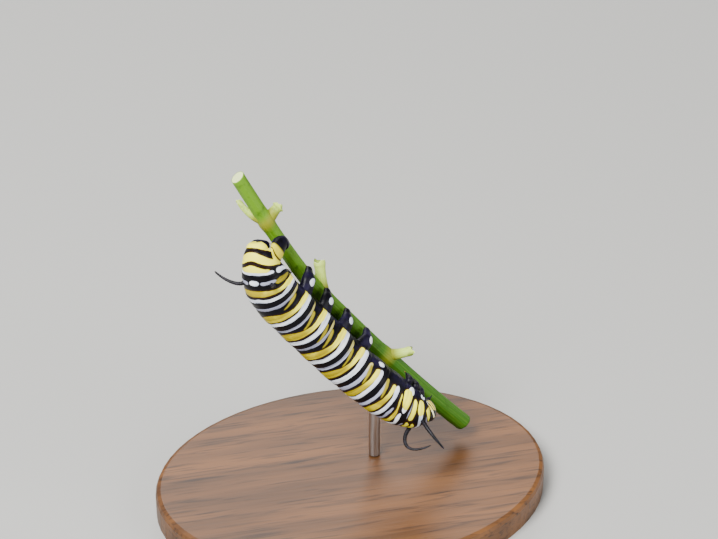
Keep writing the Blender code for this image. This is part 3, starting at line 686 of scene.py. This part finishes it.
def bend(start, first, second, end, count):
    """Points on the cubic curve from start to end that first and second pull on."""
    u = np.linspace(0.0, 1.0, count)[:, None]
    return (1 - u) ** 3 * start + 3 * u * (1 - u) ** 2 * first + 3 * u * u * (1 - u) * second + u ** 3 * end


# Soft cuticle, black and dull: it gives each thread one broken line of light, over a cloud 0.6 mm across.
black_thread, tree, shader = finish(
    "black larval cuticle", Roughness=0.45, IOR=1.4, Specular_IOR_Level=0.35)
where = node(tree, "TexCoord", out="Object")
cloud = node(tree, "TexNoise", {"Vector": where, "Scale": 1800.0, "Detail": 3.0})
tree.links.new(painted(tree, "#06050A", (cloud, 0.45, 0.85, "#2A2430")), shader.inputs["Base Color"])
tree.links.new(node(tree, "Bump", {"Height": cloud, "Strength": 0.3, "Distance": 0.00005}),
               shader.inputs["Normal"])
for name, t, angle, bends, half in TENTACLES:
    root, sunk = skin(t, math.radians(angle), 0.3), skin(t, math.radians(angle), -0.35)
    route = bend(root, *[root + np.array(step) for step in bends], 60)
    route = np.concatenate([sunk + np.linspace(0.0, 0.9, 7)[:, None] * (root - sunk), route])
    share = np.concatenate([np.zeros(7), np.linspace(0.0, 1.0, 60)])
    sizes = half + (TIP_SIZE - half) * share ** 1.4
    sizes += ROOT_SWELL * np.exp(-np.linspace(0.0, 24.0, 67)) + RING_SWELL * np.sin(share * 90.0)
    sizes[-4:] *= (0.96, 0.84, 0.6, 0.15)
    thread = surface(name, sleeve(route, sizes, 18, (0.3, 0.2, 0.9) if angle > 0 else (0.9, 0.3, 0.1)))
    thread.data.materials.append(black_thread)
    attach(thread, "root")
    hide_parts(name)

# Six jointed true legs under the thorax, short, hard and black, each with one curved claw that reaches for
# its own side of the stem. A leg is a tapering tube with a thicker ring at each joint.
LEG_ANGLE, LEG_LENGTH = math.radians(140), 2.3
LEG_HOLD = {"left": (0.3, 0.97, 0.26), "right": (0.6, 0.55, 0.8)}
LEG_STEPS = (0.0, 0.2, 0.3, 0.36, 0.5, 0.62, 0.66, 0.8, 0.9, 1.0)
LEG_SIZES = (0.58, 0.57, 0.5, 0.52, 0.45, 0.37, 0.39, 0.29, 0.17, 0.06)
KNEE_STEPS, KNEE_AHEAD = (0.0, 0.3, 0.6, 0.85, 1.0), (0.0, 0.1, 0.2, 0.1, -0.1)
claws = []
for k in range(3):
    t = EDGES[k] + 0.5 * LENGTHS[k]
    for side, sense in (("left", 1.0), ("right", -1.0)):
        root, sunk = skin(t, sense * LEG_ANGLE, 0.3), skin(t, sense * LEG_ANGLE, -0.4)
        ahead, aside, high = LEG_HOLD[side]
        way = stem_point(root[0] + ahead) + np.array([0.0, aside, high]) * (STEM_RADIUS + 0.5) - root
        reach = min(LEG_LENGTH, float(np.linalg.norm(way)))
        way = way / np.linalg.norm(way)
        steps = np.linspace(0.0, 1.0, 40)
        knee = np.interp(steps, KNEE_STEPS, KNEE_AHEAD)[:, None] * np.array([1.0, 0.0, 0.0])
        route = root + way * reach * steps[:, None] + knee
        route = np.concatenate([sunk + np.linspace(0.0, 0.9, 5)[:, None] * (root - sunk), route])
        sizes = np.interp(np.concatenate([np.zeros(5), steps]), LEG_STEPS, LEG_SIZES)
        sizes = np.convolve(np.pad(sizes, 1, mode="edge"), (0.25, 0.5, 0.25), mode="valid")
        leg = surface("leg_%d_%s" % (k + 1, side), sleeve(route, sizes, 20, (0.0, 1.0, 0.1)))
        leg.data.materials.append(horn)
        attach(leg, "root")
        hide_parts("leg_%d_%s" % (k + 1, side))
        tip = route[-1]
        hook = bend(tip - 0.08 * way, tip + 0.12 * way,
                    tip + 0.3 * way + np.array([-0.05, -0.05 * sense, 0.0]),
                    tip + 0.34 * way + np.array([-0.16, -0.16 * sense, 0.0]), 10)
        claws.append(sleeve(hook, np.linspace(0.085, 0.012, 10), 10, (0.9, 0.1, 0.3)))
claw_piece = joined("leg_claws", claws)
# Clear brown cuticle, as a claw is: it looks like dark amber with a sharp shine, clouded every 0.5 mm.
amber, tree, shader = finish("amber claw", Roughness=0.2, IOR=1.54)
where = node(tree, "TexCoord", out="Object")
cloud = node(tree, "TexNoise", {"Vector": where, "Scale": 2200.0, "Detail": 2.0})
tree.links.new(painted(tree, "#3A1E0C", (cloud, 0.3, 0.7, "#7A4A1C")), shader.inputs["Base Color"])
claw_piece.data.materials.append(amber)
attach(claw_piece, "root")

# The sole of each proleg carries a crescent of tiny hooks, of the claws' amber cuticle, that bite into
# the stem. They are set in the skin of the sole and curl in under it.
HOOKS_A_FOOT, HOOKS_SPREAD = 13, 1.9
hooks = []
for centre, half_long, half_wide, sense in feet:
    for turn in HOOKS_SPREAD * np.linspace(-1.0, 1.0, HOOKS_A_FOOT):
        start = np.array(centre) + np.array(
            [half_long * math.sin(turn) * 0.95, -half_wide * math.cos(turn) * sense * 0.9, 0.04])
        inward = np.array([0.0, -0.14 * sense, -0.12])
        hook = bend(start, start + 0.6 * inward, start + inward + [0.0, -0.04 * sense, 0.02],
                    start + inward + [0.0, -0.08 * sense, 0.1], 6)
        hooks.append(sleeve(hook, np.linspace(0.045, 0.012, 6), 6, (1.0, 0.1, 0.0)))
hook_piece = joined("proleg_hooks", hooks)
hook_piece.data.materials.append(amber)
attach(hook_piece, "root")

# The perch: a cut length of green milkweed stem, a little bowed, finely ribbed, with a swollen node where
# each leaf stalk was. Both ends are cut square and show pale pith.

# A node's place along the stem, its height and its half length.
STEM_ROWS, STEM_COLUMNS = 320, 96
STEM_NODES = ((-22.6, 0.2, 1.1), (10.0, 0.16, 1.3), (-6.2, 0.08, 0.9))
stem_x = np.concatenate(
    [[-STEM_REACH] * 6, np.linspace(-STEM_REACH, STEM_REACH, STEM_ROWS), [STEM_REACH] * 6])
stem_turn = np.linspace(0.0, 2 * math.pi, STEM_COLUMNS + 1)[:-1]
end_share = np.array([0.002, 0.25, 0.5, 0.75, 0.9, 0.97])
cut = np.concatenate([end_share, np.ones(STEM_ROWS), end_share[::-1]])
swell = sum(high * np.exp(-(((stem_x - x) / long) ** 2)) for x, high, long in STEM_NODES)
ribs = 0.018 * np.sin(9 * stem_turn)[None] + 0.01 * np.sin(23 * stem_turn + 1.0)[None]
size = cut[:, None] * (stem_radius(stem_x) + swell)[:, None] * (1.0 + ribs * cut[:, None])
ring = np.stack([np.zeros_like(stem_turn), np.sin(stem_turn), np.cos(stem_turn)], -1)
stem = surface("milkweed_stem", stem_point(stem_x)[:, None] + size[..., None] * ring[None])
for name, values in (("along", stem_x[:, None]), ("cut", 1.0 - cut[:, None]), ("round", stem_turn[None]),
                     ("swell", swell[:, None])):
    attribute(stem, name, np.broadcast_to(values, size.shape))


def plant_finish(name, start_green, end_green, pale):
    """Green plant skin that goes from start_green at one end of its length to end_green at the other: satin,
    with pale streaks 8 mm long and
    0.2 mm wide, and dark mottling 1.4 mm across, yellow-green at the nodes and pale pith where it is cut."""
    made, tree, shader = finish(name, Roughness=0.5, IOR=1.4, Specular_IOR_Level=0.3)
    where = node(tree, "TexCoord", out="Object")
    along, turn, swollen, cut = (node(tree, "Attribute", out="Fac", attribute_name=kind)
                                 for kind in ("along", "round", "swell", "cut"))
    mottle = node(tree, "TexNoise", {"Vector": where, "Scale": 700.0, "Detail": 4.0})
    line = node(tree, "CombineXYZ", {0: node(tree, "Math", {0: along, 1: 0.12}, operation="MULTIPLY"),
                                     1: node(tree, "Math", {0: turn, 1: 6.0}, operation="MULTIPLY")})
    streak = node(tree, "TexNoise", {"Vector": line, "Scale": 1.0, "Detail": 3.0})
    green = painted(
        tree, start_green,
        (along, -24.0, 12.0, end_green),
        (streak, 0.48, 1.0, pale),
        (mottle, 0.55, 0.8, "#2E5206"),
        (swollen, 0.03, 0.18, "#80861E"),
        (cut, 0.02, 0.12, "#D6E29C"))
    tree.links.new(green, shader.inputs["Base Color"])
    height = node(tree, "Math", {0: streak, 1: mottle}, operation="ADD")
    tree.links.new(node(tree, "Bump", {"Height": height, "Strength": 0.35, "Distance": 0.0001}),
                   shader.inputs["Normal"])
    return made


# The stem is a lighter green at its top and a darker green lower down; the darker lower end is partly painted
# shade.
stem.data.materials.append(plant_finish("green plant stem skin", "#5C8810", "#35640E", "#6A902C"))
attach(stem, "root")
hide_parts("perch_stem")

# The stubs of four leaf stalks, cut or bitten off short and a little dried: each flares into the stem at
# its node and ends torn.

# A stub's place along the stem, the way it points, its length, its half widths at the root and the end, how
# far it bows up, and how much its end swells.
STALKS = (
    (-6.2, (-0.72, 0.18, -0.67), 5.4, 0.85, 0.82, 0.0, 0.1),
    (10.0, (0.48, 0.76, -0.44), 4.4, 0.75, 0.72, 0.15, 0.05),
    (-22.4, (-0.07, 0.58, -0.81), 3.1, 0.7, 0.66, -0.1, 0.3),
    (-22.9, (-0.81, -0.56, -0.19), 4.7, 0.68, 0.4, 0.6, 0.0),
)
STUB_COLUMNS, STUB_FLARE = 40, 0.35
stalk_skin = plant_finish("pale cut stalk skin", "#A9C83C", "#B9D05A", "#D2E08A")
steps = np.concatenate([np.linspace(0.0, 1.0, 60), [1.0] * 5])[:, None]
closing = np.concatenate([np.ones(58), [0.99, 0.97, 0.9, 0.75, 0.5, 0.25, 0.01]])[:, None]
turn = np.linspace(0.0, 2 * math.pi, STUB_COLUMNS, endpoint=False)[None]
for number, (x, way, length, wide, narrow, bow, end_swell) in enumerate(STALKS, 1):
    way = np.array(way) / np.linalg.norm(way)
    route = stem_point(x) + way * (length * steps) + bow * np.sin(math.pi * steps) * [0.2, 0.0, 1.0]
    flare = STUB_FLARE * np.exp(-((length * steps / 1.9) ** 2))
    knob = end_swell * np.exp(-(((steps - 0.9) / 0.07) ** 2))
    sizes = (wide + (narrow - wide) * steps + flare + knob) * closing
    tear = 0.22 * np.sin(2 * turn + number) + 0.1 * np.sin(5 * turn)
    torn = smoothstep((steps - 0.8) / 0.2) * tear
    stub = surface("leaf_stalk_stub_%d" % number,
                   sleeve(route, sizes[:, 0], STUB_COLUMNS) + torn[..., None] * way)
    cut = smoothstep((np.arange(len(steps)) - 58) / 4.0)[:, None]
    for name, values in (("along", steps * 30.0 - 18.0), ("round", turn), ("swell", flare), ("cut", cut)):
        attribute(stub, name, np.broadcast_to(values, torn.shape))
    stub.data.materials.append(stalk_skin)
    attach(stub, "root")
    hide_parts("perch_stalk_%d" % number)

# The stand, which the photograph doesn't have: an oiled wooden base with an eased edge and a brushed steel
# rod whose cradle holds the stem from below and behind. Both keep their solids' shapes.

# Walnut, planed and oiled: brown with a low shine. Its growth bands are 4 mm wide and 50 mm long, and its
# pores 0.6 mm wide and 9 mm long, coarser than real ones so that they show.
walnut, tree, shader = finish("oiled walnut", Roughness=0.45, IOR=1.5, Specular_IOR_Level=0.4)
where = node(tree, "TexCoord", out="Object")
grain_way = node(tree, "Mapping", {"Vector": where, "Scale": (110.0, 1700.0, 1700.0)})
grain = node(tree, "TexNoise", {"Vector": grain_way, "Scale": 1.0, "Detail": 6.0, "Distortion": 0.4})
rings_way = node(tree, "Mapping", {"Vector": where, "Scale": (20.0, 260.0, 260.0)})
growth = node(tree, "TexNoise", {"Vector": rings_way, "Scale": 1.0, "Detail": 3.0})
wood = painted(tree, "#4A2E16", (growth, 0.35, 0.65, "#6B4421"), (grain, 0.52, 0.72, "#2E1B0C"))
tree.links.new(wood, shader.inputs["Base Color"])
tree.links.new(node(tree, "Bump", {"Height": grain, "Strength": 0.25, "Distance": 0.0002}),
               shader.inputs["Normal"])
# Steel, brushed lengthwise: a grey metal whose shine is drawn out by marks 0.25 mm wide and 5 mm long.
steel, tree, shader = finish("brushed steel", Roughness=0.32, Metallic=1.0)
where = node(tree, "TexCoord", out="Object")
brush_way = node(tree, "Mapping", {"Vector": where, "Scale": (4000.0, 4000.0, 200.0)})
brushed = node(tree, "TexNoise", {"Vector": brush_way, "Scale": 1.0, "Detail": 2.0})
tree.links.new(painted(tree, "#A9ABAE", (brushed, 0.0, 1.0, "#D6D8DA")), shader.inputs["Base Color"])
tree.links.new(node(tree, "MapRange", {0: brushed, 1: 0.2, 2: 0.8, 3: 0.24, 4: 0.42}),
               shader.inputs["Roughness"])
for name, made in (("stand_base", walnut), ("stand_rod", steel)):
    nodes[name].data.materials.clear()
    nodes[name].data.materials.append(made)

# The stage: a plain pale floor, soft light from above and both sides, and the camera of the photograph,
# which looks down at 35 degrees from 400 mm away.
floor_mesh = bpy.data.meshes.new("floor")
floor_mesh.from_pydata([(-3.0, -3.0, 0.0), (3.0, -3.0, 0.0), (3.0, 3.0, 0.0), (-3.0, 3.0, 0.0)], [],
                       [(0, 1, 2, 3)])
floor = bpy.data.objects.new("floor", floor_mesh)
bpy.context.scene.collection.objects.link(floor)
pale, tree, shader = finish("matt pale studio floor", Roughness=0.9)
shader.inputs["Base Color"].default_value = linear("#A6A5A1")
floor.data.materials.append(pale)

world = bpy.data.worlds.new("soft studio")
world.use_nodes = True
background = world.node_tree.nodes["Background"]
background.inputs["Color"].default_value = linear("#E4E8EE")
background.inputs["Strength"].default_value = 0.35
bpy.context.scene.world = world

# The photograph's size, the lens's focal length and the place of the body's middle, all in pixels.
PHOTO_WIDE, PHOTO_HIGH, FOCUS = 718, 539, 2638.1
AIM_ACROSS, AIM_DOWN = 333.6, 351.7
TILT, AZIMUTH, DISTANCE = math.radians(35.0), math.radians(-12.62), 400.0
toward = np.array([math.sin(AZIMUTH) * math.cos(TILT), -math.cos(AZIMUTH) * math.cos(TILT), math.sin(TILT)])
right = np.array([math.cos(AZIMUTH), math.sin(AZIMUTH), 0.0])
above = np.cross(toward, right)
aim = place((0.0, 0.0, 6.0)) / MM
eye = aim + DISTANCE * (toward - right * (AIM_ACROSS - PHOTO_WIDE / 2) / FOCUS
                        + above * (AIM_DOWN - PHOTO_HIGH / 2) / FOCUS)


def facing(way):
    """The matrix whose -Z looks along the way, with its Y as near up as it can be."""
    return Vector(way).to_track_quat("-Z", "Y").to_matrix().to_4x4()


# Three square soft lights: place and side in metres, and power in watts.
LIGHTS = (("key", (-0.3, -0.25, 0.55), 0.3, 12.0), ("fill", (0.45, -0.35, 0.3), 0.4, 2.8),
          ("rim", (0.05, 0.5, 0.45), 0.35, 2.6))
for name, at, size, energy in LIGHTS:
    lamp = bpy.data.lights.new(name, "AREA")
    lamp.size, lamp.energy = size, energy
    light = bpy.data.objects.new(name, lamp)
    light.matrix_world = facing(np.array([0.0, 0.0, 0.03]) - np.array(at))
    light.location = at
    bpy.context.scene.collection.objects.link(light)

lens = bpy.data.cameras.new("camera")
lens.sensor_width, lens.lens = 36.0, FOCUS / PHOTO_WIDE * 36.0
lens.clip_start = 0.01
camera = bpy.data.objects.new("camera", lens)
camera.matrix_world = facing(-toward)
camera.location = MM * eye
bpy.context.scene.collection.objects.link(camera)
bpy.context.scene.camera = camera
